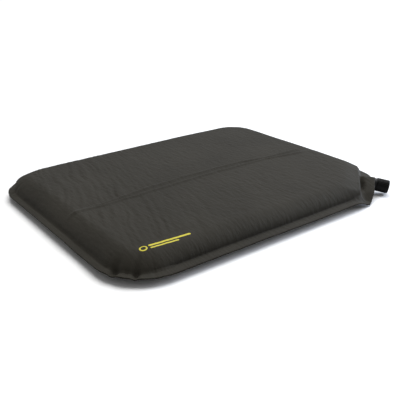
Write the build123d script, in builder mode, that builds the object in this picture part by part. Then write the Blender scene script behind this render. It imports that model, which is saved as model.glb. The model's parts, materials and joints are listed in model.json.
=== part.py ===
from build123d import *
from math import cos, radians, sin, sqrt
import os

# Self-inflating foam seat pad with a twist valve welded into one cut corner.
# Millimetres. The origin is on the floor under the pad's centre, +Z is up, +X runs along the length
# towards the valve's end, and the valve sits in the corner at +X and -Y.

# Pad
pad_length = 406.0
pad_width = 330.0
pad_thickness = 26.0
corner_radius = 57.0
flange_width = 11.5
roll_width = 21.0
roll_steps = 5
seam_height = 10.5

# Cut corner that takes the valve, as lengths along the long and the short side
cut_along_length = 68.0
cut_along_width = 56.0
cut_blend = 18.0
cut_blend_loss = 0.3

# Laminate: a woven fabric with an airtight film bonded to its inner face
fabric_thickness = 0.4
film_thickness = 0.2
laminate = fabric_thickness + film_thickness
foam_gap = 0.05

# Valve axis: where it leaves the fabric sleeve, and how far it dips below the horizontal
mouth_beyond_cut = 4.7
mouth_height = 12.3
valve_dip = 9.7

# Valve sizes along its axis are measured outwards from the sleeve's mouth
base_sections = [(-26.0, 6.0, 4.4), (-15.0, 7.0, 4.8), (-6.0, 9.0, 7.4), (0.0, 9.0, 7.4)]
fin_edge_radius = 0.5
fin_drop = mouth_height - seam_height
base_clearance = 0.02
foam_clearance = 0.4
air_pocket_radius = 6.0
air_pocket_length = 8.0
collar_radius = 7.4
collar_end = 2.0
stem_radius = 5.2
stem_end = 13.8
bore_radius = 3.2
core_seat_radius = 3.7
core_seat_start = 10.2

# Screw thread between stem and cap
thread_pitch = 2.4
thread_root_width = 1.0
thread_crest_width = 0.6
thread_bite = 0.15
male_crest_radius = 6.1
male_start = 6.8
male_turns = 0.9
female_crest_radius = 5.65
female_turns = 1.1

# Cap
cap_radius = 8.3
cap_start = 2.2
cap_end = 17.7
cap_end_wall = 3.0
cap_bore_radius = 6.6
cap_outer_edge = 1.5
cap_inner_edge = 0.5
mouth_hole_radius = 2.9
mouth_chamfer = 0.6
flute_count = 24
flute_radius = 0.75
flute_depth = 0.28
flute_start = 4.6
flute_end = 15.6

# Small rings and the valve's plug
ring_start = 2.65
ring_thickness = 1.15
ring_inner_radius = 5.4
ring_groove_radius = 7.0
fit_gap = 0.04
stem_seal_at = 12.2
stem_seal_groove_radius = 4.65
stem_seal_groove_width = 1.95
plug_pin_radius = 1.3
plug_head_radius = 2.45
plug_head_start = 14.5
plug_head_end = 16.8
plug_groove_radius = 1.9
plug_groove_width = 0.96
plug_seal_outer_radius = 2.85
core_rim_width = 0.7
core_spoke_width = 0.9
core_spoke_count = 3

# Plain generic mark printed near the corner opposite the valve: a ring and two bars
mark_thickness = 0.06
mark_x = -158.0
mark_y = -123.5
mark_ring_radii = (4.2, 2.6)
mark_bars = [(30.2, 1.7, 48.0, 3.0), (22.2, -2.9, 32.0, 2.0)]

half_length = pad_length / 2
half_width = pad_width / 2
cut_chord = sqrt(cut_along_length**2 + cut_along_width**2)
cut_normal = Vector(cut_along_width, -cut_along_length, 0) / cut_chord
cut_direction = Vector(cut_along_length, cut_along_width, 0) / cut_chord
cut_middle = Vector(half_length - cut_along_length / 2, -half_width + cut_along_width / 2, 0)
valve_axis = cut_normal * cos(radians(valve_dip)) - Vector(0, 0, sin(radians(valve_dip)))
valve_mouth = cut_middle + cut_normal * mouth_beyond_cut + Vector(0, 0, mouth_height)
valve_plane = Plane(origin=valve_mouth, x_dir=cut_direction, z_dir=valve_axis)
stem_axis = Axis(valve_mouth, valve_axis)

os.makedirs("parts", exist_ok=True)


def outline(inset):
    """The pad's outline, moved inwards: three round corners and one cut corner with blended ends."""
    x = half_length - inset
    y = half_width - inset
    reach = cut_normal.dot(cut_middle) - inset
    near_x = (reach + cut_normal.Y * y) / cut_normal.X
    far_y = (reach - cut_normal.X * x) / cut_normal.Y
    blend = cut_blend - cut_blend_loss * inset
    corners = [(x, y), (-x, y), (-x, -y), (near_x, -y), (x, far_y)]
    bends = [corner_radius - inset] * 3 + [blend] * 2
    return FilletPolyline(*corners, radius=bends, close=True)


def filled_body(depth):
    """The pad inside its weld seam, under this depth of laminate, from the floor side to the top."""
    with BuildPart() as body:
        for step in range(-roll_steps, roll_steps + 1):
            turn = radians(90 * step / roll_steps)
            rise = (pad_thickness - seam_height if step > 0 else seam_height) - depth
            inset = flange_width + depth + (roll_width - depth) * (1 - cos(turn))
            with BuildSketch(Plane.XY.offset(seam_height + rise * sin(turn))):
                with BuildLine():
                    outline(inset)
                make_face()
        loft(ruled=True)
    return body.part


def weld_base(margin):
    """The valve's round base with a fin along each side, grown by a margin, which the two sheets wrap."""
    with BuildPart() as base:
        for along, fin_reach, barrel_radius in base_sections:
            with BuildSketch(valve_plane.offset(along)):
                Circle(barrel_radius + margin)
                with Locations((fin_reach, -fin_drop), (-fin_reach, -fin_drop)):
                    Circle(fin_edge_radius + margin)
                make_hull()
        loft(ruled=True)
    return base.part


def envelope(depth):
    """Everything inside this depth of laminate: body, flange and the sleeve round the valve."""
    with BuildPart() as whole:
        add(filled_body(depth))
        add(weld_base(laminate + base_clearance - depth))
        if depth < laminate:
            with BuildSketch(Plane.XY.offset(seam_height)):
                with BuildLine():
                    outline(0)
                make_face()
            extrude(amount=laminate - depth, both=True)
    return whole.part


def turned(radius, start, end, mode=Mode.ADD):
    """Adds or cuts a round length on the valve's axis in the part being built."""
    with BuildSketch(valve_plane.offset(start)) as section:
        Circle(radius)
    extrude(section.sketch, amount=end - start, mode=mode)


def seal_ring(middle, inner_radius, outer_radius):
    """A round-section ring on the valve's axis, centred at this distance from the sleeve's mouth."""
    with BuildPart() as ring:
        with Locations(valve_plane.offset(middle).location):
            Torus((inner_radius + outer_radius) / 2, (outer_radius - inner_radius) / 2)
    return ring.part


def thread_ridge(start, turns, root_radius, crest_radius):
    """A right-hand trapezoidal ridge that stands out from root_radius to crest_radius."""
    centre = valve_plane.offset(start).origin
    with BuildPart() as ridge:
        with BuildLine() as path:
            Helix(thread_pitch, thread_pitch * turns, root_radius, centre, valve_axis)
        first = path.line @ 0
        outwards = (first - centre).normalized() * (1 if crest_radius > root_radius else -1)
        height = abs(crest_radius - root_radius)
        with BuildSketch(Plane(origin=first, x_dir=outwards, z_dir=path.line % 0)):
            with BuildLine():
                Polyline(
                    (-thread_bite, -thread_root_width / 2),
                    (height, -thread_crest_width / 2),
                    (height, thread_crest_width / 2),
                    (-thread_bite, thread_root_width / 2),
                    close=True,
                )
            make_face()
        sweep(path=path.line, is_frenet=True)
    return ridge.part


# Laminate sheets: the fabric shell and the film inside it, each in an upper and a lower half that are
# welded to each other round the flange and round the valve's base
for side, keep in (("top", Keep.TOP), ("bottom", Keep.BOTTOM)):
    for layer, outside, inside in (("cover", 0, fabric_thickness), ("film", fabric_thickness, laminate)):
        with BuildPart() as sheet:
            add(envelope(outside))
            add(envelope(inside), mode=Mode.SUBTRACT)
            split(bisect_by=Plane.XY.offset(seam_height), keep=keep)
        sheet.part.label = f"{side}_{layer}"
        export_step(sheet.part, f"parts/{side}_{layer}.step")

# Open-cell foam slab bonded to both films, cut away where the valve's base and its inlet sit
with BuildPart() as foam_core:
    add(filled_body(laminate + foam_gap))
    add(weld_base(foam_clearance), mode=Mode.SUBTRACT)
    inlet = base_sections[0][0]
    turned(air_pocket_radius, inlet - air_pocket_length, inlet, Mode.SUBTRACT)
foam_core.part.label = "foam_core"
export_step(foam_core.part, "parts/foam_core.step")

# Generic printed mark
with BuildPart() as printed_mark:
    with BuildSketch(Plane.XY.offset(pad_thickness)):
        with Locations((mark_x, mark_y)):
            Circle(mark_ring_radii[0])
            Circle(mark_ring_radii[1], mode=Mode.SUBTRACT)
            for along, up, length, height in mark_bars:
                with Locations((along, up)):
                    SlotOverall(length, height)
    extrude(amount=mark_thickness)
printed_mark.part.label = "printed_mark"
export_step(printed_mark.part, "parts/printed_mark.step")

# Valve body: finned weld base, collar, hollow threaded stem, core seat and seal groove
with BuildPart() as valve_body:
    add(weld_base(0))
    turned(collar_radius, 0, collar_end)
    turned(stem_radius, 0, stem_end)
    add(thread_ridge(male_start, male_turns, stem_radius, male_crest_radius))
    turned(bore_radius, base_sections[0][0], stem_end, Mode.SUBTRACT)
    turned(core_seat_radius, core_seat_start, stem_end, Mode.SUBTRACT)
    groove_start = stem_seal_at - stem_seal_groove_width / 2
    with BuildSketch(valve_plane.offset(groove_start)):
        Circle(stem_radius)
        Circle(stem_seal_groove_radius, mode=Mode.SUBTRACT)
    extrude(amount=stem_seal_groove_width, mode=Mode.SUBTRACT)
valve_body.part.label = "valve_body"
export_step(valve_body.part, "parts/valve_body.step")

# Valve core: a rim and three spokes in the stem's seat carry the pin and the grooved plug head
rim_radius = core_seat_radius - fit_gap
plug_groove_start = (plug_head_start + plug_head_end - plug_groove_width) / 2
with BuildPart() as valve_core:
    turned(rim_radius, core_seat_start, stem_end)
    turned(rim_radius - core_rim_width, core_seat_start, stem_end, Mode.SUBTRACT)
    with BuildSketch(valve_plane.offset(core_seat_start)):
        with PolarLocations(rim_radius / 2, core_spoke_count):
            Rectangle(rim_radius - core_rim_width, core_spoke_width)
    extrude(amount=stem_end - core_seat_start)
    turned(plug_pin_radius, core_seat_start, plug_head_start)
    turned(plug_head_radius, plug_head_start, plug_groove_start)
    turned(plug_groove_radius, plug_groove_start, plug_groove_start + plug_groove_width)
    turned(plug_head_radius, plug_groove_start + plug_groove_width, plug_head_end)
valve_core.part.label = "valve_core"
export_step(valve_core.part, "parts/valve_core.step")

# Rubber rings: one seals the plug in the cap's mouth hole, the other seals the cap's bore above the thread
plug_seal = seal_ring(
    plug_groove_start + plug_groove_width / 2, plug_groove_radius + fit_gap, plug_seal_outer_radius
)
plug_seal.label = "plug_seal"
export_step(plug_seal, "parts/plug_seal.step")
stem_seal = seal_ring(
    stem_seal_at, stem_seal_groove_radius + fit_gap, cap_bore_radius - fit_gap
)
stem_seal.label = "stem_seal"
export_step(stem_seal, "parts/stem_seal.step")

# Retainer ring: rides in the cap's mouth groove and meets the stem's thread when the cap is fully open
with BuildPart() as retainer_ring:
    turned(ring_groove_radius - fit_gap, ring_start, ring_start + ring_thickness)
    turned(ring_inner_radius, ring_start, ring_start + ring_thickness, Mode.SUBTRACT)
retainer_ring.part.label = "retainer_ring"
export_step(retainer_ring.part, "parts/retainer_ring.step")

# Valve cap: threaded bore, retainer groove, end wall with the mouth hole, and a fluted grip
with BuildPart() as valve_cap:
    turned(cap_radius, cap_start, cap_end)
    ends = valve_cap.edges().filter_by(GeomType.CIRCLE).sort_by(stem_axis)
    fillet(ends[-1], cap_outer_edge)
    fillet(ends[0], cap_inner_edge)
    with BuildSketch(valve_plane.offset(flute_start)):
        with PolarLocations(cap_radius + flute_radius - flute_depth, flute_count):
            Circle(flute_radius)
    extrude(amount=flute_end - flute_start, mode=Mode.SUBTRACT)
    turned(cap_bore_radius, cap_start, cap_end - cap_end_wall, Mode.SUBTRACT)
    turned(
        ring_groove_radius, ring_start - fit_gap, ring_start + ring_thickness + fit_gap, Mode.SUBTRACT
    )
    turned(mouth_hole_radius, cap_end - cap_end_wall, cap_end, Mode.SUBTRACT)
    face_edges = valve_cap.edges().filter_by(GeomType.CIRCLE).group_by(stem_axis)[-1]
    chamfer(face_edges.sort_by(SortBy.RADIUS)[0], mouth_chamfer)
    female_start = male_start - thread_pitch / 2
    add(thread_ridge(female_start, female_turns, cap_bore_radius, female_crest_radius))
valve_cap.part.label = "valve_cap"
export_step(valve_cap.part, "parts/valve_cap.step")
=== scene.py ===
"""Self-inflating foam seat pad: covers, films, foam, printed mark and the twist valve's finishes."""
import json
import math

import bmesh
import bpy
import numpy as np
from mathutils import Matrix, Vector
from mathutils.bvhtree import BVHTree
from mathutils.geometry import delaunay_2d_cdt


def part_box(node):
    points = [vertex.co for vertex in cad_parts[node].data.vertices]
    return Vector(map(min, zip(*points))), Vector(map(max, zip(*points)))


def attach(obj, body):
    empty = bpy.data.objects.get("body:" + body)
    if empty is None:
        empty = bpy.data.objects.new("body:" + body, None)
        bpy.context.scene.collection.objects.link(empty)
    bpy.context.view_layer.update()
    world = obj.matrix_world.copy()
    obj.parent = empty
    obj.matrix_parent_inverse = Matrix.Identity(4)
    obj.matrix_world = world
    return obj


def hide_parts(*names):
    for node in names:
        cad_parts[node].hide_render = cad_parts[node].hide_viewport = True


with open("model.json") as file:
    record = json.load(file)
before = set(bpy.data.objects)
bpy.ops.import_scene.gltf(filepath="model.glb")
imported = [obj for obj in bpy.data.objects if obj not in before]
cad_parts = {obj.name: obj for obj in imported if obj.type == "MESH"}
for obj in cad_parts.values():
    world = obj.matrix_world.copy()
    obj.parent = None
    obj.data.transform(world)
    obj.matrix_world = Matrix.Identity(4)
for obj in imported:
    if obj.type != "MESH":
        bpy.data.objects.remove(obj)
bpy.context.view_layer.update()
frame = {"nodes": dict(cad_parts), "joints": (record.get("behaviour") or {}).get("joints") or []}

# Shapes are in millimetres and are scaled to metres when a mesh is made. The camera, the lights and
# the textures are in metres.
MM = 0.001

# Pad, from the frame
_, pad_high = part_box("top_cover")
half_length = pad_high.x / MM
half_width = pad_high.y / MM
pad_top = pad_high.z / MM
corner_radius = 57.0

# Centres of the round corners' bends, left or right of the middle and in front of or behind it
round_centre_x = half_length - corner_radius
round_centre_y = half_width - corner_radius

# Outline and edge profile
flange_width = 11.5
roll_width = 21.0
cut_along_length = 68.0
cut_along_width = 56.0
near_tip_bend = 3.0
far_tip_bend = 12.0
crown_sink = 0.35
edge_height = 9.3
seam_height = 9.6
cover_thickness = 0.4
film_thickness = 0.2
laminate = cover_thickness + film_thickness
weld_gap = 0.03

# Valve axis, as the frame's joint gives it
cap_joint = next(j for j in frame["joints"] if j["name"] == "cap_turn")
valve_mouth = np.array(cap_joint["pos_m"]) / MM
valve_axis = np.array(cap_joint["axis"])
valve_dip = math.asin(-valve_axis[2])
mouth_beyond_cut = 4.7

# Cut corner
cut_chord = math.hypot(cut_along_length, cut_along_width)
cut_direction = np.array([cut_along_length, cut_along_width]) / cut_chord
cut_normal = np.array([cut_along_width, -cut_along_length]) / cut_chord
cut_middle = np.array([half_length - cut_along_length / 2, -half_width + cut_along_width / 2])
cut_reach = float(cut_normal @ cut_middle)

# Fold crease, from the left end to the right one
fold_stations = [-178, -140, -100, -60, -20, 20, 60, 100, 150]
fold_upper = [-13, -13, -8, -4, -2, -2, -3, -12, -15]
fold_lower = [-15, -18, -18, -16, -15, -14, -15, -17, -28]

# Foam and printed mark
film_gap = 0.25
foam_gap = 0.9
film_edge_gap = 0.5
foam_edge_gap = 1.5
film_cut_back = 7.0
foam_cut_back = 10.5
mark_centre = (-160.5, -131.0)
mark_turn = math.radians(-4.5)
mark_ring_radii = (4.2, 2.6)
mark_bars = [(30.2, 1.7, 48.0, 3.0), (22.2, -2.9, 32.0, 2.0)]
mark_point_spacing = 0.8
mark_bar_rows = 8
ink_thickness = 0.06
ink_sink = 0.1
above_pad = 60

# Mesh density
fine_step = 1.45
plain_step = 3.2
coarse_step = 5.0
roll_rings = 18
plain_roll_rings = 6
fine_edge = [0.0, 0.5, 2.0, 3.5, 5.0, 6.5, 8.0, 9.5, 10.5, 11.1]
plain_edge = [0.0, 4.0, 8.0]
middle_gap_in_steps = 0.6
merge_distance = 1e-5
mark_circle_points = 49
mark_ring_rows = 4

# Rows and columns of a noise table
noise_lattice = 128


def smooth(value):
    """Smooth step from 0 to 1 for a value from 0 to 1, clipped outside."""
    value = np.clip(value, 0.0, 1.0)
    return value * value * (3.0 - 2.0 * value)


def bump(distance, width):
    """A soft bump: 1 at no distance, fading to almost 0 at twice this width."""
    return np.exp(-((distance / width) ** 2))


def noise(u, v, seed):
    """Smooth noise from -1 to 1 over a unit lattice."""
    table = np.random.RandomState(seed).uniform(-1.0, 1.0, (noise_lattice, noise_lattice))
    column = np.floor(u).astype(int)
    row = np.floor(v).astype(int)
    across = smooth(u - column)
    along = smooth(v - row)
    column, next_column = column % noise_lattice, (column + 1) % noise_lattice
    row, next_row = row % noise_lattice, (row + 1) % noise_lattice
    left = table[column, row] * (1 - along) + table[column, next_row] * along
    right = table[next_column, row] * (1 - along) + table[next_column, next_row] * along
    return left * (1 - across) + right * across


# Outline: three round corners, then the near and the far tip of the cut, anticlockwise. Points are
# counted at the edge, so that every ring inside it has the same number.
bend_counts = [round(corner_radius * math.pi / 2 / fine_step)] * 3 + [6, 8]
side_lengths = [
    2 * round_centre_x,
    2 * round_centre_y,
    2 * half_length - corner_radius - cut_along_length,
    cut_chord,
    2 * half_width - corner_radius - cut_along_width,
]
side_counts = [round(length / fine_step) for length in side_lengths]


def corner_points(inset, cut_back):
    """The five corners of the straight-sided outline at this inset, anticlockwise."""
    x = half_length - inset
    y = half_width - inset
    reach = cut_reach - inset - cut_back
    near_x = (reach + cut_normal[1] * y) / cut_normal[0]
    far_y = (reach - cut_normal[0] * x) / cut_normal[1]
    return np.array([(x, y), (-x, y), (-x, -y), (near_x, -y), (x, far_y)])


def outline_ring(inset, cut_back=0.0):
    """Points round the outline at this inset, the same number at every inset."""
    corners = corner_points(inset, cut_back)
    arriving = corners - np.roll(corners, 1, axis=0)
    arriving /= np.linalg.norm(arriving, axis=1)[:, None]
    leaving = np.roll(arriving, -1, axis=0)
    turn = np.arccos(np.sum(arriving * leaving, axis=1))
    bend = np.array([corner_radius - inset] * 3 + [near_tip_bend, far_tip_bend])
    trim = (bend * np.tan(turn / 2))[:, None]
    bend_start = corners - arriving * trim
    bend_end = corners + leaving * trim
    points = []
    for corner in range(5):
        inward = np.array([-arriving[corner][1], arriving[corner][0]])
        centre = bend_start[corner] + inward * bend[corner]
        angle = np.linspace(0, turn[corner], bend_counts[corner], endpoint=False)[:, None]
        round_bend = np.sin(angle) * arriving[corner] - np.cos(angle) * inward
        points.append(centre + bend[corner] * round_bend)
        share = np.linspace(0, 1, side_counts[corner], endpoint=False)[:, None]
        next_start = bend_start[(corner + 1) % 5]
        points.append(bend_end[corner] * (1 - share) + next_start * share)
    return np.concatenate(points)


def side_inset(x, y):
    """How far inside the outline a point is, without the cut, which leaves that corner square."""
    across = half_length - np.abs(x)
    along = half_width - np.abs(y)
    square = np.minimum(across, along)
    past_x = np.maximum(corner_radius - across, 0)
    past_y = np.maximum(corner_radius - along, 0)
    rounded = corner_radius - np.hypot(past_x, past_y)
    valve_corner = (x > 0) & (y < 0)
    return np.where((past_x > 0) & (past_y > 0) & ~valve_corner, rounded, square)


def inset_of(x, y, cut_back=0.0):
    """How far inside the whole outline a point is."""
    beyond, _ = cut_coordinates(x, y)
    return np.minimum(side_inset(x, y), -beyond - cut_back)


def cut_coordinates(x, y):
    """Distance beyond the cut corner's line, and distance along it from its middle."""
    beyond = x * cut_normal[0] + y * cut_normal[1] - cut_reach
    along = (x - cut_middle[0]) * cut_direction[0] + (y - cut_middle[1]) * cut_direction[1]
    return beyond, along


# Valve sleeve: the sheets wrap the valve's base as a tent with one foot on each side of it. Depths
# are measured inwards from the sleeve's mouth, and foot_depths inwards from the cut line.
base_depths = [0, 6, 15, 26]
base_radii = [7.4, 7.4, 4.8, 4.4]
base_fin_reaches = [9.5, 9.5, 7.5, 6.5]
base_fin_rise = -1.4
fin_edge_radius = 0.5
sleeve_depths = [0, 14, 17, 26]
sleeve_radii = [8.1, 7.1, 5.6, 5.2]
far_foot = 21.0
foot_depths = [-4.7, 6.5, 10.0]
near_feet = [-26.0, -25.0, -13.0]
near_foot_heights = [11.3, 11.6, 11.7]
far_foot_heights = [7.6, 9.4, 9.8]

# How far the sleeve reaches along the cut line and inwards from it: on top, below and inside
top_sleeve_reach, top_sleeve_depth = 40, 20
bottom_sleeve_reach, bottom_sleeve_depth = 27, 14
inner_sleeve_reach, inner_sleeve_depth = 28, 13

# Heights and insets along the cut corner, from the near tip to the far one
cut_stations = [-62, -44, -38, -26, 16, 30, 44, 62]
cut_edge_heights = [6.8, 2.8, 3.8, 11.2, 7.4, 7.3, 7.2, 8.6]
cut_seam_heights = [10.2, 12.5, 11.4, 11.0, 9.8, 9.8, 9.8, 9.6]
ridge_heights = [16.5, 17.2, 18.8, 21.4, 22.2, 21.4, 20.4, 20.0]
ridge_insets = [13.0, 13.0, 13.3, 14.2, 16.6, 18.0, 19.0, 19.5]
ridge_end_inset = 44.0
cut_share_end = 62

# The flange's rise from its edge to the seam, as a power
flange_bend = 1.15

# Where the cut side's edge starts to reach out to the valve's mouth, and over what length it does so
near_taper_start, near_taper_length = 46, 22
far_taper_start, far_taper_length = 43, 25


def barrel_height(beyond):
    """Height of the valve axis, by distance beyond the cut line."""
    return valve_mouth[2] + (mouth_beyond_cut - beyond) * math.tan(valve_dip)


def tent(radius, height, along, foot_along, foot_height):
    """Upper side of a sheet drawn over a round bar and down to one foot."""
    foot_rise = foot_height - height
    distance = np.hypot(foot_along, foot_rise)
    lean = np.arctan2(foot_rise, foot_along)
    spread = np.arccos(np.clip(radius / distance, -1, 1))
    touch = np.where(foot_along > 0, lean + spread, lean - spread)
    touch_along = radius * np.cos(touch)
    touch_rise = radius * np.sin(touch)
    slope = (foot_rise - touch_rise) / (foot_along - touch_along)
    line = touch_rise + slope * (along - touch_along)
    arc = np.sqrt(np.maximum(radius**2 - along**2, 0))
    beside = np.where(foot_along > 0, along > touch_along, along < touch_along)
    return np.where(beside, line, arc) + height


def near_foot(beyond):
    """Place along the cut of the sleeve's near foot."""
    return np.interp(-beyond, foot_depths, near_feet)


def sleeve_height(beyond, along, side):
    """Height of the covers' outer surface where they wrap the valve's base."""
    depth = mouth_beyond_cut - beyond
    radius = np.interp(depth, sleeve_depths, sleeve_radii)
    sign = 1.0 if side == "top" else -1.0
    drop = 0.0 if side == "top" else 2 * laminate
    near_height = np.interp(-beyond, foot_depths, near_foot_heights) - drop
    far_height = np.interp(-beyond, foot_depths, far_foot_heights) - drop
    foot_along = np.where(along < 0, near_foot(beyond), far_foot)
    foot_height = np.where(along < 0, near_height, far_height)
    return sign * tent(radius, sign * barrel_height(beyond), along, foot_along, sign * foot_height)


def base_height(beyond, along, side):
    """Height of the valve base's own surface, with its fins, which the covers are welded to."""
    depth = mouth_beyond_cut - beyond
    radius = np.interp(depth, base_depths, base_radii) + weld_gap
    reach = np.interp(depth, base_depths, base_fin_reaches) + weld_gap
    sign = 1.0 if side == "top" else -1.0
    middle = barrel_height(beyond)
    foot_along = np.where(along < 0, -reach, reach)
    foot_height = sign * (middle + base_fin_rise) + fin_edge_radius
    return sign * tent(radius, sign * middle, along, foot_along, foot_height)


def by_station(along, heights):
    """A value along the cut corner."""
    return np.interp(along, cut_stations, heights)


def cut_share(beyond, along):
    """1 along the cut side, fading to 0 along the two sides beside it."""
    return smooth((cut_share_end - np.abs(along)) / 18) * smooth((beyond + 48) / 20)


# Pad surface. Puckers at the round corners: centre, direction in degrees, depth, half width
puckers = [
    (-round_centre_x, -round_centre_y, 191, 0.5, 1.8),
    (-round_centre_x, -round_centre_y, 205, 4.4, 4.0),
    (-round_centre_x, -round_centre_y, 219, 0.6, 1.8),
    (-round_centre_x, -round_centre_y, 229.5, 4.0, 3.0),
    (-round_centre_x, -round_centre_y, 250, 0.5, 1.8),
    (-round_centre_x, round_centre_y, 172, 0.7, 2.2),
    (-round_centre_x, round_centre_y, 150, 0.8, 2.0),
    (-round_centre_x, round_centre_y, 128, 0.7, 2.0),
    (-round_centre_x, round_centre_y, 105, 0.5, 2.0),
    (round_centre_x, round_centre_y, 74, 0.5, 2.0),
    (round_centre_x, round_centre_y, 45, 0.9, 2.2),
    (round_centre_x, round_centre_y, 18, 0.6, 2.0),
]


def edge_waves(x, y):
    """Slow waves of the welded flange's outer edge."""
    return 0.5 * noise(x / 34 + 7, y / 34, 11) + 0.3 * noise(x / 13, y / 13 + 3, 12)


def crown_height(x, y):
    """The broad top: almost flat, with slow swells."""
    right_end = smooth((x - 50) / 110)
    tilt = 1.4 * smooth((75 - y) / 110) - 1.0 * smooth((y - 75) / 60)
    return pad_top - crown_sink + 0.25 * noise(x / 85 + 2, y / 85 + 5, 21) + right_end * tilt


def fold_line(x, y):
    """The double crease from storing the pad folded: two low ridges with a shallow valley between."""
    upper_y = np.interp(x, fold_stations, fold_upper) + 0.8 * noise(x / 14, x * 0, 31)
    lower_y = np.interp(x, fold_stations, fold_lower) + 0.8 * noise(x / 11, x * 0, 32)
    ends = smooth((x + 190) / 14) * smooth((172 - x) / 20)
    ridges = 1.2 * bump(y - upper_y, 1.8) + 1.8 * bump(y - lower_y, 2.1)
    valley = 0.6 * bump(y - 0.5 * (upper_y + lower_y), 2.6)
    return ends * (ridges - valley)


def seam_inset(x):
    """How far inside the edge the weld seam shows: nearer to it along the slack left end."""
    return flange_width - 3.0 * smooth((-x - 135) / 45)


def roll_rise(inset, start, ease):
    """Share of the height from the seam to the crown: a quarter round, or gentler with more ease."""
    across = np.clip((inset - start) / (flange_width + roll_width - start), 0, 1)
    quarter_round = np.sqrt(1 - (1 - across) ** 2)
    gentle_slope = 1 - (1 - across) ** 1.8
    return quarter_round * (1 - ease) + gentle_slope * ease


def left_ease(x):
    """Half the ease at the pad's left end, whose roll is slacker, fading to none towards the right."""
    return 0.5 * smooth((-x - 110) / 60)


def back_droop(y):
    """1 where the flange droops along the back."""
    return smooth((y - 134) / 22)


def tip_lift(x, y):
    """1 at the back-left corner, where the top runs straight down to the edge."""
    turn = np.arctan2(y - round_centre_y, -round_centre_x - x)
    return bump(turn - 0.62, 0.45) * smooth((-x - 130) / 16) * smooth((y - 92) / 16)


def corner_puckers(x, y, inset):
    """Creases that cross the flange and climb the roll at the round corners, as depths."""
    depth = 0.0
    for centre_x, centre_y, degrees, deep, wide in puckers:
        angle = math.radians(degrees)
        across = (y - centre_y) * math.cos(angle) - (x - centre_x) * math.sin(angle)
        outwards = (x - centre_x) * math.cos(angle) + (y - centre_y) * math.sin(angle)
        fade = smooth(outwards / 14 - 0.8) * (0.15 + 0.85 * bump(inset - 8, 6.5))
        depth = depth + deep * bump(across, wide) * fade
    return depth


def ridge_profile(inset, along, seam, crown):
    """Height of the top, by inset from the cut: a short steep wall to a ridge, then a gentle slope."""
    ridge_inset = by_station(along, ridge_insets)
    ridge = by_station(along, ridge_heights)
    wall = np.clip((inset - flange_width) / (ridge_inset - flange_width), 0, 1)
    slope = np.clip((inset - ridge_inset) / (ridge_end_inset - ridge_inset), 0, 1)
    crease = 0.45 * bump(inset - ridge_inset, 1.3) * smooth((56 - np.abs(along)) / 12)
    wall_rise = (ridge - seam) * np.sin(wall * math.pi / 2)
    slope_rise = (crown - ridge) * (1 - (1 - slope) ** 1.7)
    return seam + wall_rise + slope_rise + crease


def soft_minimum(one, other, softness):
    """The lower of two heights, rounded where they cross."""
    mix = np.clip(0.5 + 0.5 * (other - one) / softness, 0, 1)
    return other * (1 - mix) + one * mix - softness * mix * (1 - mix)


def surface_height(x, y, side):
    """Height of the covers' outer surface over a point on the floor."""
    beyond, along = cut_coordinates(x, y)
    inset = side_inset(x, y)
    share = cut_share(beyond, along)
    tip = tip_lift(x, y)
    edge = edge_height + edge_waves(x, y) - 4.6 * back_droop(y)
    edge = edge * (1 - share) + by_station(along, cut_edge_heights) * share
    seam = (seam_height + 0.3 * noise(x / 40, y / 40, 13) + 5.5 * tip) * (1 - share)
    seam = seam + by_station(along, cut_seam_heights) * share
    nearest = np.minimum(inset, -beyond)
    start = seam_inset(x)
    climb = np.clip(nearest / start, 0, 1)
    near_tip = bump(along + 35, 9) * smooth((beyond + 12) / 3)
    bend = flange_bend + 2.0 * near_tip
    flange = edge + (seam - edge) * climb**bend
    if side == "top":
        crown = crown_height(x, y)
        ease = left_ease(x) * (1 - 0.6 * tip)
        body = seam + (crown - seam) * roll_rise(inset, start, ease)
        body = soft_minimum(body, ridge_profile(-beyond, along, seam, crown), 1.2)
        height = np.where(nearest < start, flange, body) - corner_puckers(x, y, inset)
        between_feet = (along > near_foot(beyond)) & (along < top_sleeve_reach)
        near_valve = between_feet & (beyond > -top_sleeve_depth)
        raised = np.maximum(height, sleeve_height(beyond, along, side))
        return np.where(near_valve, raised, height)
    body = (seam - 2 * laminate) * (1 - roll_rise(nearest, start, 0.0))
    height = np.where(nearest < start, flange - 2 * laminate, body)
    height = height - corner_puckers(x, y, inset) * (nearest < start)
    near_valve = (np.abs(along) < bottom_sleeve_reach) & (beyond > -bottom_sleeve_depth)
    lowered = np.minimum(height, sleeve_height(beyond, along, side))
    return np.maximum(np.where(near_valve, lowered, height), 0.0)


def tongue(points, inset):
    """Pushes the cut side's edge out to the valve's mouth, where the sheets wrap its base."""
    beyond, along = cut_coordinates(points[:, 0], points[:, 1])
    near_taper = (near_taper_start + along) / near_taper_length
    far_taper = (far_taper_start - along) / far_taper_length
    taper = np.where(along < 0, near_taper, far_taper)
    reach = np.clip(taper, 0, 1) * np.clip(1 - inset / flange_width, 0, 1)
    reach *= beyond > -inset - 1.0
    return points + (mouth_beyond_cut * reach)[:, None] * cut_normal


# Fine relief of the fabric


def wrinkles(x, y):
    """Irregular creases that run across the pad's width, longer towards the left end."""
    longer = smooth((40 - x) / 160)
    slant = (0.06 + 0.25 * longer) * y
    bend_x = x - slant + 5 * noise(x / 45, y / 45, 41) + 0.9 * noise(x / 12, y / 12, 42)
    bend_y = y + 9 * noise(x / 30, y / 60, 43)
    short = 0.7 - 2 * np.abs(noise(bend_x / 3.1, bend_y / 10, 44))
    long = noise(bend_x / 3.2, bend_y / 44, 45)
    broad = noise(bend_x / 11, bend_y / 60, 46)
    patch = (0.7 + 0.3 * noise(x / 50, y / 50, 47)) * (0.40 + 0.52 * longer)
    short_share = 0.62 - 0.34 * longer
    long_share = 0.14 + 0.68 * longer
    return 0.8 + patch * (short_share * short + long_share * long + 0.2 * broad)


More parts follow.
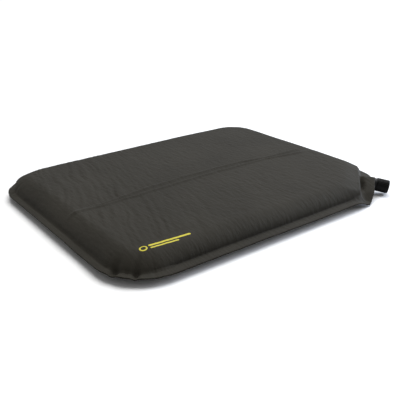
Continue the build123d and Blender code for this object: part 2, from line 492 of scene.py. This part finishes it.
def near_fold(x, y):
    """1 along the fold line, where the crease is stronger than the wrinkles."""
    upper_y = np.interp(x, fold_stations, fold_upper)
    lower_y = np.interp(x, fold_stations, fold_lower)
    return smooth((x + 180) / 14) * bump(y - 0.5 * (upper_y + lower_y), 9.0)


def printed_area(x, y):
    """1 under the printed mark, where the ink stiffens the fabric."""
    return smooth((42 - np.abs(x + 132)) / 10) * smooth((15 - np.abs(y + 132)) / 7)


def build_plan(insets, step, cut_back=0.0):
    """A layer seen from above: rings from the edge inwards, joined to a triangulated middle.

    Returns the points, the faces and the number of points in a ring. The step is the middle's.
    """
    rings = [tongue(outline_ring(inset, cut_back), inset) for inset in insets]
    count = len(rings[0])
    grid_x, grid_y = np.meshgrid(
        np.arange(-half_length, half_length, step), np.arange(-half_width, half_width, step)
    )
    grid_x = grid_x.ravel()
    grid_y = grid_y.ravel()
    inside = inset_of(grid_x, grid_y, cut_back) > insets[-1] + middle_gap_in_steps * step
    middle = np.column_stack([grid_x[inside], grid_y[inside]])
    flat = [Vector(point) for point in np.concatenate([rings[-1], middle])]
    border = list(range(count))
    inside_border = 1
    result = delaunay_2d_cdt(flat, [], [border], inside_border, merge_distance)
    _, _, triangles, sources, _, _ = result
    first_of = [source[0] for source in sources]
    base = count * (len(rings) - 1)
    faces = [tuple(base + first_of[i] for i in triangle) for triangle in triangles]
    for ring in range(len(rings) - 1):
        for i in range(count):
            j = (i + 1) % count
            outer, inner = ring * count, (ring + 1) * count
            faces.append((outer + i, outer + j, inner + j, inner + i))
    plan = np.concatenate(rings + [middle])
    return plan, faces, count


def add_relief(points, side):
    """Adds the fabric's wrinkles and, on top, the fold line: fully on the broad side, less at edges."""
    x, y = points[:, 0], points[:, 1]
    inset = inset_of(x, y)
    broad_side = 0.12 + 0.88 * smooth((inset - 18) / 15)
    strength = broad_side * (1 - 0.75 * printed_area(x, y)) * (1 - 0.5 * near_fold(x, y))
    lift = wrinkles(x, y) * strength
    lift = lift + fold_line(x, y) if side == "top" else -0.2 * lift
    raised = points.copy()
    raised[:, 2] = np.maximum(raised[:, 2] + lift, 0.0)
    return raised


def offset_inwards(points, faces, distance):
    """Moves a surface this far against its own normals."""
    mesh = bpy.data.meshes.new("offset")
    mesh.from_pydata(points.tolist(), [], faces)
    normals = np.array([v.normal[:] for v in mesh.vertices])
    bpy.data.meshes.remove(mesh)
    return points - normals * distance


def ring_plan(roll_count, edge_insets):
    """Insets of the rings from the edge to the end of the roll."""
    turns = [math.pi / 2 * i / roll_count for i in range(roll_count + 1)]
    return edge_insets + [flange_width + roll_width * (1 - math.cos(turn)) for turn in turns]


def shell_object(name, outer, inner, faces_outer, faces_inner, count):
    """A closed thin shell between two surfaces whose outermost rings match point for point."""
    shift = len(outer)
    faces = list(faces_outer) + [tuple(shift + i for i in reversed(face)) for face in faces_inner]
    for i in range(count):
        j = (i + 1) % count
        faces.append((i, shift + i, shift + j, j))
    return mesh_object(name, np.concatenate([outer, inner]), faces)


def mesh_object(name, points, faces):
    """A Blender object from points in millimetres, with its faces turned outwards."""
    mesh = bpy.data.meshes.new(name)
    mesh.from_pydata((np.asarray(points) * MM).tolist(), [], faces)
    mesh.validate()
    outward = bmesh.new()
    outward.from_mesh(mesh)
    bmesh.ops.recalc_face_normals(outward, faces=outward.faces)
    outward.to_mesh(mesh)
    outward.free()
    mesh.polygons.foreach_set("use_smooth", [True] * len(mesh.polygons))
    mesh.update()
    piece = bpy.data.objects.new(name, mesh)
    bpy.context.scene.collection.objects.link(piece)
    return piece


def layer_points(plan, faces, side, depth):
    """A plain surface this deep inside a cover's outer one."""
    points = np.column_stack([plan, surface_height(plan[:, 0], plan[:, 1], side)])
    sign = 1.0 if side == "top" else -1.0
    return offset_inwards(points, faces, sign * depth)


def sleeve_inside(points, side):
    """Brings a cover's inner surface down to the valve's base and the weld beside it."""
    beyond, along = cut_coordinates(points[:, 0], points[:, 1])
    near = (np.abs(along) < inner_sleeve_reach) & (beyond > -inner_sleeve_depth)
    weld = surface_weld(points[:, 0], points[:, 1])
    base = base_height(beyond, along, side)
    wanted = np.maximum(base, weld) if side == "top" else np.minimum(base, weld)
    points[:, 2] = np.where(near, wanted, points[:, 2])
    return points


def surface_weld(x, y):
    """Height at which the two covers meet in the flange beside the valve."""
    beyond, along = cut_coordinates(x, y)
    edge = by_station(along, cut_edge_heights)
    seam = by_station(along, cut_seam_heights)
    climb = np.clip(-beyond / flange_width, 0, 1)
    return edge + (seam - edge) * climb**flange_bend - laminate


def build_cover(side):
    """A fabric cover, detailed outside and plain inside, with its outer points and faces."""
    step = fine_step if side == "top" else plain_step
    outer_plan, outer_faces, count = build_plan(ring_plan(roll_rings, fine_edge), step)
    heights = surface_height(outer_plan[:, 0], outer_plan[:, 1], side)
    outer = add_relief(np.column_stack([outer_plan, heights]), side)
    inner_plan, inner_faces, _ = build_plan(ring_plan(plain_roll_rings, plain_edge), coarse_step)
    inner = sleeve_inside(layer_points(inner_plan, inner_faces, side, cover_thickness), side)
    cover = shell_object(f"{side}_cover_fabric", outer, inner, outer_faces, inner_faces, count)
    return cover, outer.tolist(), outer_faces


def rings_inside(gap):
    """Insets of the rings that are more than this gap inside the weld seam."""
    return [inset for inset in ring_plan(plain_roll_rings, []) if inset > flange_width + gap]


def build_film(side):
    """The airtight film inside a cover, up to the weld seam and further in behind the valve."""
    plan, faces, count = build_plan(rings_inside(film_edge_gap), coarse_step, film_cut_back)
    outer = layer_points(plan, faces, side, cover_thickness + film_gap)
    inner = layer_points(plan, faces, side, laminate + film_gap)
    return shell_object(f"{side}_film_layer", outer, inner, faces, faces, count)


def build_foam():
    """The foam slab between the films, cut away behind the valve's base."""
    plan, faces, count = build_plan(rings_inside(foam_edge_gap), coarse_step, foam_cut_back)
    top = layer_points(plan, faces, "top", laminate + foam_gap)
    bottom = layer_points(plan, faces, "bottom", laminate + foam_gap)
    return shell_object("foam_slab", top, bottom, faces, faces, count)


def slot_rows(centre, length, height):
    """Rows of points along a round-ended bar, from its lower edge to its upper one."""
    radius = height / 2
    share = np.linspace(-1, 1, round(length / mark_point_spacing) + 1)
    rows = []
    for row in range(mark_bar_rows + 1):
        up = -radius + height * row / mark_bar_rows
        half = length / 2 - radius + math.sqrt(max(radius**2 - up**2, 0.0))
        level = np.full(len(share), centre[1] + up)
        rows.append(np.column_stack([centre[0] + half * share, level]))
    return rows


def ring_rows(centre, outer_radius, inner_radius):
    """The rows of a ring, from its inner circle to its outer one."""
    angle = np.linspace(0, 2 * math.pi, mark_circle_points)
    circle = np.column_stack([np.cos(angle), np.sin(angle)])
    radii = np.linspace(inner_radius, outer_radius, mark_ring_rows)
    return [np.array(centre) + radius * circle for radius in radii]


def turned(points):
    """Points turned by the mark's slant round its centre."""
    cosine, sine = math.cos(mark_turn), math.sin(mark_turn)
    turn = np.array([(cosine, sine), (-sine, cosine)])
    return (points - mark_centre) @ turn + mark_centre


def build_mark(cloth):
    """The plain printed ring and bars, as a skin of ink on the cloth."""
    shapes = [ring_rows(mark_centre, *mark_ring_radii)]
    for along, up, length, height in mark_bars:
        shapes.append(slot_rows((mark_centre[0] + along, mark_centre[1] + up), length, height))
    points = []
    faces = []
    for rows in shapes:
        start = len(points)
        width = len(rows[0])
        for row in rows:
            for x, y in turned(row):
                hit = cloth.ray_cast(Vector((x, y, above_pad)), Vector((0, 0, -1)))[0]
                points.append((x, y, hit.z + ink_thickness))
        for i in range(len(rows) - 1):
            for j in range(width - 1):
                corner = start + i * width + j
                faces.append((corner, corner + 1, corner + width + 1, corner + width))
    top = np.array(points)
    bottom = top - (0, 0, ink_thickness + ink_sink)
    return closed_sheet("printed_ink", top, bottom, faces)


def closed_sheet(name, top, bottom, faces):
    """A closed skin from two surfaces with the same faces, with a wall along every open edge."""
    shift = len(top)
    open_edges = {}
    for face in faces:
        for one, other in zip(face, face[1:] + face[:1]):
            if (other, one) in open_edges:
                del open_edges[(other, one)]
            else:
                open_edges[(one, other)] = True
    walls = [(other, one, shift + one, shift + other) for one, other in open_edges]
    under = [tuple(shift + i for i in reversed(face)) for face in faces]
    return mesh_object(name, np.concatenate([top, bottom]), faces + under + walls)


# Scene setup


def set_camera():
    """The product shot's camera."""
    right = Vector((0.80345, -0.59526, -0.01185))
    up = Vector((0.24527, 0.31279, 0.91761))
    back = right.cross(up)
    place = Vector((-0.421065, -0.579726, 0.298281))
    data = bpy.data.cameras.new("camera")
    data.lens = 54.58
    data.sensor_width = 36.0
    camera = bpy.data.objects.new("camera", data)
    bpy.context.scene.collection.objects.link(camera)
    camera.matrix_world = Matrix.Translation(place) @ Matrix((right, up, back)).transposed().to_4x4()
    bpy.context.scene.camera = camera


def set_world():
    """Even, dim white surroundings."""
    world = bpy.data.worlds.new("studio")
    bpy.context.scene.world = world
    world.use_nodes = True
    background = world.node_tree.nodes["Background"]
    background.inputs["Color"].default_value = (1.0, 1.0, 1.0, 1.0)
    background.inputs["Strength"].default_value = 0.30


def add_key_light():
    """A broad soft light from above, behind the pad and to its right."""
    data = bpy.data.lights.new("key", "SUN")
    data.energy = 2.95
    data.angle = math.radians(50)
    light = bpy.data.objects.new("key", data)
    bpy.context.scene.collection.objects.link(light)
    light.rotation_euler = Vector((-0.38, -0.38, -1.0)).to_track_quat("-Z", "Y").to_euler()


def add_panel(name, size, power, colour, place, aim):
    """A square light panel at one place, turned to another."""
    data = bpy.data.lights.new(name, "AREA")
    data.shape = "SQUARE"
    data.size = size
    data.energy = power
    data.color = colour
    light = bpy.data.objects.new(name, data)
    bpy.context.scene.collection.objects.link(light)
    light.location = place
    light.rotation_euler = (Vector(aim) - Vector(place)).to_track_quat("-Z", "Y").to_euler()


# Materials
fabric_dark = (0.0250, 0.0226, 0.0172)
fabric_light = (0.0310, 0.0281, 0.0216)
thread_pitch = 0.0005
wave_scale = 0.314


def new_material(name, roughness, specular):
    """A material with a Principled shader. Returns it with its nodes and links."""
    material = bpy.data.materials.new(name)
    material.use_nodes = True
    nodes = material.node_tree.nodes
    links = material.node_tree.links
    shader = nodes["Principled BSDF"]
    shader.inputs["Roughness"].default_value = roughness
    shader.inputs["Specular IOR Level"].default_value = specular
    return material, nodes, links


def texture_place(nodes, links, scale):
    """Object coordinates stretched by this scale."""
    coordinates = nodes.new("ShaderNodeTexCoord")
    mapping = nodes.new("ShaderNodeMapping")
    mapping.inputs["Scale"].default_value = scale
    links.new(coordinates.outputs["Object"], mapping.inputs["Vector"])
    return mapping.outputs["Vector"]


def add_noise(nodes, links, scale, detail=2.0):
    """A noise texture over stretched object coordinates."""
    texture = nodes.new("ShaderNodeTexNoise")
    texture.inputs["Scale"].default_value = 1.0
    texture.inputs["Detail"].default_value = detail
    links.new(texture_place(nodes, links, scale), texture.inputs["Vector"])
    return texture.outputs["Fac"]


def add_threads(nodes, links, direction, pitch):
    """Evenly spaced threads that are crossed in this direction."""
    texture = nodes.new("ShaderNodeTexWave")
    texture.bands_direction = direction
    texture.inputs["Scale"].default_value = wave_scale / pitch
    texture.inputs["Distortion"].default_value = 0.25
    links.new(texture_place(nodes, links, (1.0, 1.0, 1.0)), texture.inputs["Vector"])
    return texture.outputs["Fac"]


def colour_between(nodes, links, factor, dark, light, start=0.3, end=0.7):
    """A colour that follows a texture from dark to light, into the shader's base colour."""
    ramp = nodes.new("ShaderNodeValToRGB")
    ramp.color_ramp.elements[0].position = start
    ramp.color_ramp.elements[0].color = (*dark, 1.0)
    ramp.color_ramp.elements[1].position = end
    ramp.color_ramp.elements[1].color = (*light, 1.0)
    links.new(factor, ramp.inputs["Fac"])
    links.new(ramp.outputs["Color"], nodes["Principled BSDF"].inputs["Base Color"])


def add_bumps(nodes, links, layers):
    """Stacks bump layers, each a texture, its depth in metres and its strength."""
    normal = None
    for factor, depth, strength in layers:
        node = nodes.new("ShaderNodeBump")
        node.inputs["Strength"].default_value = strength
        node.inputs["Distance"].default_value = depth
        links.new(factor, node.inputs["Height"])
        if normal:
            links.new(normal, node.inputs["Normal"])
        normal = node.outputs["Normal"]
    links.new(normal, nodes["Principled BSDF"].inputs["Normal"])


def fabric_material():
    """Dark olive coated fabric: fine plain weave, slub and small crinkles across the pad."""
    material, nodes, links = new_material("olive_fabric", 0.75, 0.1)
    crinkle = add_noise(nodes, links, (280.0, 75.0, 90.0), 3.0)
    slub = add_noise(nodes, links, (900.0, 160.0, 500.0))
    blotch = add_noise(nodes, links, (14.0, 14.0, 14.0))
    colour_between(nodes, links, blotch, fabric_dark, fabric_light)
    shader = nodes["Principled BSDF"]
    shader.inputs["Sheen Weight"].default_value = 0.03
    shader.inputs["Sheen Roughness"].default_value = 0.45
    shader.inputs["Sheen Tint"].default_value = (0.86, 0.9, 1.0, 1.0)
    warp = add_threads(nodes, links, "X", thread_pitch)
    weft = add_threads(nodes, links, "Y", thread_pitch)
    layers = [
        (crinkle, 0.0010, 0.8),
        (slub, 0.0001, 0.4),
        (warp, 0.00004, 0.3),
        (weft, 0.00004, 0.3),
    ]
    add_bumps(nodes, links, layers)
    return material


def film_material():
    """Milky airtight film with a faint haze and small ripples."""
    material, nodes, links = new_material("airtight_film", 0.28, 0.5)
    haze = add_noise(nodes, links, (35.0, 35.0, 35.0), 4.0)
    ripple = add_noise(nodes, links, (220.0, 220.0, 220.0))
    colour_between(nodes, links, haze, (0.42, 0.44, 0.45), (0.56, 0.58, 0.58))
    add_bumps(nodes, links, [(ripple, 0.0002, 0.3)])
    return material


def foam_material():
    """Pale yellow open-cell foam with round pores, whose sunken middles carry painted shade."""
    material, nodes, links = new_material("open_cell_foam", 0.95, 0.1)
    pores = nodes.new("ShaderNodeTexVoronoi")
    pores.inputs["Scale"].default_value = 700.0
    links.new(texture_place(nodes, links, (1.0, 1.0, 1.0)), pores.inputs["Vector"])
    distance = pores.outputs["Distance"]
    # Painted shade: the colour darkens towards each pore's sunken middle, where shade would fall
    colour_between(nodes, links, distance, (0.45, 0.38, 0.2), (0.72, 0.66, 0.42), 0.1, 0.6)
    add_bumps(nodes, links, [(distance, 0.0006, 0.8)])
    return material


def ink_material():
    """Yellow screen-printed ink, slightly uneven where it bridges the weave."""
    material, nodes, links = new_material("print_ink", 0.55, 0.3)
    cover = add_noise(nodes, links, (600.0, 600.0, 600.0), 3.0)
    colour_between(nodes, links, cover, (0.46, 0.40, 0.020), (0.60, 0.52, 0.035))
    add_bumps(nodes, links, [(cover, 0.00005, 0.4)])
    return material


def hard_material(name, dark, light, roughness, specular, grain):
    """Moulded plastic or rubber with a fine grain."""
    material, nodes, links = new_material(name, roughness, specular)
    speckle = add_noise(nodes, links, (grain, grain, grain), 3.0)
    flow = add_noise(nodes, links, (90.0, 90.0, 90.0))
    colour_between(nodes, links, flow, dark, light)
    add_bumps(nodes, links, [(speckle, 0.00006, 0.35)])
    return material


def floor_material():
    """Plain pale floor."""
    material, nodes, _ = new_material("studio_floor", 0.6, 0.2)
    nodes["Principled BSDF"].inputs["Base Color"].default_value = (0.94, 0.94, 0.94, 1.0)
    return material


def dress(piece, material):
    """Gives a piece one material."""
    piece.data.materials.clear()
    piece.data.materials.append(material)


def build_floor():
    """A pale floor that reaches past the picture."""
    reach = 40000
    corners = [(-reach, -reach, 0), (reach, -reach, 0), (reach, reach, 0), (-reach, reach, 0)]
    floor = mesh_object("floor", corners, [(0, 1, 2, 3)])
    dress(floor, floor_material())


def stand_for(piece, node, material):
    """Puts a soft piece in its CAD node's place."""
    dress(piece, material)
    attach(piece, "pad")
    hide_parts(node)


# Scene
fabric = fabric_material()
film = film_material()
valve_plastic = hard_material(
    "valve_plastic",
    dark=(0.006, 0.006, 0.006),
    light=(0.009, 0.009, 0.010),
    roughness=0.5,
    specular=0.3,
    grain=1500.0,
)
cap_plastic = hard_material(
    "cap_plastic",
    dark=(0.0024, 0.0026, 0.0026),
    light=(0.0038, 0.0040, 0.0040),
    roughness=0.42,
    specular=0.10,
    grain=1800.0,
)
seal_rubber = hard_material(
    "seal_rubber",
    dark=(0.012, 0.012, 0.012),
    light=(0.018, 0.018, 0.018),
    roughness=0.8,
    specular=0.2,
    grain=2500.0,
)

outer_cloth = {}
for side in ("top", "bottom"):
    cover, *outer_cloth[side] = build_cover(side)
    stand_for(cover, f"{side}_cover", fabric)
    film_layer = build_film(side)
    stand_for(film_layer, f"{side}_film", film)
foam = build_foam()
stand_for(foam, "foam_core", foam_material())
top_cloth = BVHTree.FromPolygons(*outer_cloth["top"])
stand_for(build_mark(top_cloth), "printed_mark", ink_material())

valve_finishes = {
    "valve_body": valve_plastic,
    "valve_core": valve_plastic,
    "retainer_ring": valve_plastic,
    "valve_cap": cap_plastic,
    "plug_seal": seal_rubber,
    "stem_seal": seal_rubber,
}
for node, finish in valve_finishes.items():
    dress(frame["nodes"][node], finish)

set_camera()
set_world()
build_floor()
add_key_light()
# Cool panels: a weak one beyond the valve corner, and one low beyond the pad's right end, which
# lights the edges that face it
add_panel("side", 0.7, 4.0, (0.86, 0.91, 1.0), (0.95, -0.55, 0.50), (0.15, -0.1, 0.0))
add_panel("rim", 0.5, 11.0, (0.74, 0.83, 1.0), (1.3, -0.25, 0.42), (0.1, 0.0, 0.0))
bpy.context.scene.view_settings.view_transform = "Standard"
